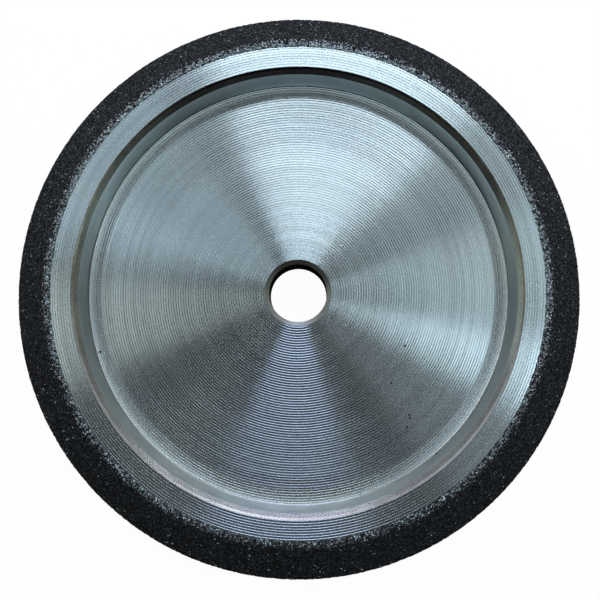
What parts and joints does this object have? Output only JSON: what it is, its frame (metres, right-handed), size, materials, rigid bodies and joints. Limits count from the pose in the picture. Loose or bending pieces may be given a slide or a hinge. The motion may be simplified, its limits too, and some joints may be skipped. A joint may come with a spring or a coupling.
{
  "type": "cbn grinding wheel",
  "caption": "Profile grinding wheel: dished turned steel body with a central arbor bore and a plated cubic boron nitride skin on its form-ground rim.",
  "frame": {"origin": "on the bore axis at the flat back face that the wheel rests on", "axes": "+Z along the bore towards the dished side; X and Y are any two directions across the wheel, which is round"},
  "size_m": [0.127, 0.127, 0.0203],
  "materials": {
    "turned_steel": "bright turned steel with fine concentric tool marks",
    "plated_grit": "dark nickel-bonded grit with bright specks"
  },
  "bodies": {
    "root": {"wheel_body": "turned_steel", "abrasive_skin": "plated_grit"}
  },
  "joints": []
}
